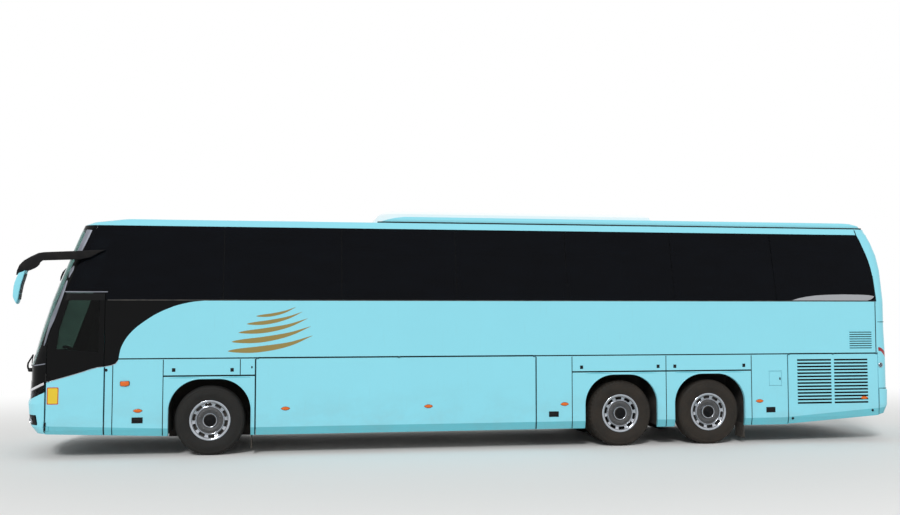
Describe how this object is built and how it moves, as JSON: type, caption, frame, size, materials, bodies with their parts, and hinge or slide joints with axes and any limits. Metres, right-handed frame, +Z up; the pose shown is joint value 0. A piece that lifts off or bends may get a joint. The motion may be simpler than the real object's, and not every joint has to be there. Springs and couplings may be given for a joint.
{
  "type": "three-axle coach bus",
  "caption": "Three-axle high-deck coach with bonded dark side glass, a roof air unit, side luggage doors, a louvred engine door, a driver's door and steered front wheels.",
  "frame": {"origin": "on the ground under the middle of the overall width and, to within 40 mm, of the overall length", "axes": "+X towards the front, +Y towards the coach's left, +Z up"},
  "size_m": [14.0488, 2.94, 3.768],
  "materials": {
    "body_paint": "glossy light blue coach paint, dusty low down",
    "dark_paint": "gloss black paint and seals",
    "roof_white": "white gel coat on the roof unit",
    "frame_black": "matt black chassis paint",
    "window_glass": "dark tinted bonded glass",
    "screen_glass": "laminated windscreen glass",
    "lamp_lens": "clear lamp lens over a dark reflector",
    "red_lens": "red lamp lens",
    "mirror_shell": "painted plastic shell",
    "trim_plastic": "moulded black plastic",
    "cabin_plastic": "grained cabin plastic",
    "floor_lining": "floor covering over board",
    "seat_cloth": "moquette seat cover",
    "tyre_rubber": "dusty road tyre",
    "flap_rubber": "rubber sheet",
    "rim_metal": "bright wheel with a trim ring",
    "axle_iron": "painted forging",
    "engine_iron": "cast engine block"
  },
  "bodies": {
    "coach": {"underframe": "frame_black", "tow_lugs": "frame_black", "saloon_floor": "floor_lining", "cab_floor": "floor_lining", "luggage_hold": "floor_lining", "wheel_housings": "frame_black", "skirts": "body_paint", "side_walls": "body_paint", "window_frames": "dark_paint", "window_glass": "window_glass", "windscreen": "screen_glass", "front_frame": "dark_paint", "front_mask": "dark_paint", "front_bumper": "body_paint", "front_lamps": "lamp_lens", "roof_skin": "body_paint", "air_unit": "roof_white", "rear_wall": "body_paint", "rear_bumper": "body_paint", "tail_lamps": "red_lens", "engine_block": "engine_iron", "dashboard": "cabin_plastic", "steering_wheel": "cabin_plastic", "seats": "seat_cloth", "mirror_arms": "trim_plastic", "mirror_heads": "mirror_shell", "wipers": "trim_plastic", "front_axle": "axle_iron", "drive_axle": "axle_iron", "tag_axle": "axle_iron", "mudflaps": "flap_rubber", "entry_door": "dark_paint"},
    "left_knuckle": {"left_knuckle": "axle_iron"},
    "right_knuckle": {"right_knuckle": "axle_iron"},
    "left_front_wheel": {"left_front_tyre": "tyre_rubber", "left_front_rim": "rim_metal"},
    "left_drive_wheel": {"left_drive_tyres": "tyre_rubber", "left_drive_rims": "rim_metal"},
    "left_tag_wheel": {"left_tag_tyre": "tyre_rubber", "left_tag_rim": "rim_metal"},
    "right_front_wheel": {"right_front_tyre": "tyre_rubber", "right_front_rim": "rim_metal"},
    "right_drive_wheel": {"right_drive_tyres": "tyre_rubber", "right_drive_rims": "rim_metal"},
    "right_tag_wheel": {"right_tag_tyre": "tyre_rubber", "right_tag_rim": "rim_metal"},
    "driver_door": {"driver_door": "body_paint", "driver_door_glass": "window_glass"},
    "left_luggage_door": {"left_luggage_door": "body_paint"},
    "right_luggage_door": {"right_luggage_door": "body_paint"},
    "left_louvre_door": {"left_louvre_door": "body_paint"},
    "right_louvre_door": {"right_louvre_door": "body_paint"},
    "engine_lid": {"engine_lid": "body_paint"},
    "fuel_flap": {"fuel_flap": "body_paint"}
  },
  "joints": [
    {"name": "left_steering", "type": "hinge", "parent": "coach", "child": "left_knuckle", "pos_m": [4.21, 0.94, 0.522], "axis": [0, 0, 1], "range_deg": [-40, 40]},
    {"name": "left_front_roll", "type": "hinge", "parent": "left_knuckle", "child": "left_front_wheel", "pos_m": [4.21, 1.07, 0.522], "axis": [0, 1, 0], "continuous": true},
    {"name": "left_drive_roll", "type": "hinge", "parent": "coach", "child": "left_drive_wheel", "pos_m": [-2.22, 1.07, 0.522], "axis": [0, 1, 0], "continuous": true},
    {"name": "left_tag_roll", "type": "hinge", "parent": "coach", "child": "left_tag_wheel", "pos_m": [-3.72, 1.07, 0.522], "axis": [0, 1, 0], "continuous": true},
    {"name": "right_steering", "type": "hinge", "parent": "coach", "child": "right_knuckle", "pos_m": [4.21, -0.94, 0.522], "axis": [0, 0, 1], "range_deg": [-40, 40]},
    {"name": "right_front_roll", "type": "hinge", "parent": "right_knuckle", "child": "right_front_wheel", "pos_m": [4.21, -1.07, 0.522], "axis": [0, 1, 0], "continuous": true},
    {"name": "right_drive_roll", "type": "hinge", "parent": "coach", "child": "right_drive_wheel", "pos_m": [-2.22, -1.07, 0.522], "axis": [0, 1, 0], "continuous": true},
    {"name": "right_tag_roll", "type": "hinge", "parent": "coach", "child": "right_tag_wheel", "pos_m": [-3.72, -1.07, 0.522], "axis": [0, 1, 0], "continuous": true},
    {"name": "driver_door_swing", "type": "hinge", "parent": "coach", "child": "driver_door", "pos_m": [6.544, 1.285, 1], "axis": [0, 0, -1], "range_deg": [0, 75]},
    {"name": "left_luggage_lift", "type": "hinge", "parent": "coach", "child": "left_luggage_door", "pos_m": [1.365, 1.268, 1.453], "axis": [1, 0, 0], "range_deg": [0, 90]},
    {"name": "left_louvre_lift", "type": "hinge", "parent": "coach", "child": "left_louvre_door", "pos_m": [-5.895, 1.268, 1.453], "axis": [1, 0, 0], "range_deg": [0, 90]},
    {"name": "right_luggage_lift", "type": "hinge", "parent": "coach", "child": "right_luggage_door", "pos_m": [1.365, -1.268, 1.453], "axis": [-1, 0, 0], "range_deg": [0, 90]},
    {"name": "right_louvre_lift", "type": "hinge", "parent": "coach", "child": "right_louvre_door", "pos_m": [-5.895, -1.268, 1.453], "axis": [-1, 0, 0], "range_deg": [0, 90]},
    {"name": "engine_lid_lift", "type": "hinge", "parent": "coach", "child": "engine_lid", "pos_m": [-7.01, 0, 1.882], "axis": [0, 1, 0], "range_deg": [0, 80]},
    {"name": "fuel_flap_lift", "type": "hinge", "parent": "coach", "child": "fuel_flap", "pos_m": [-4.86, 1.272, 1.169], "axis": [1, 0, 0], "range_deg": [0, 100]}
  ],
  "couplings": [
    {"joint": "right_steering", "follows": "left_steering", "ratio": 1}
  ]
}
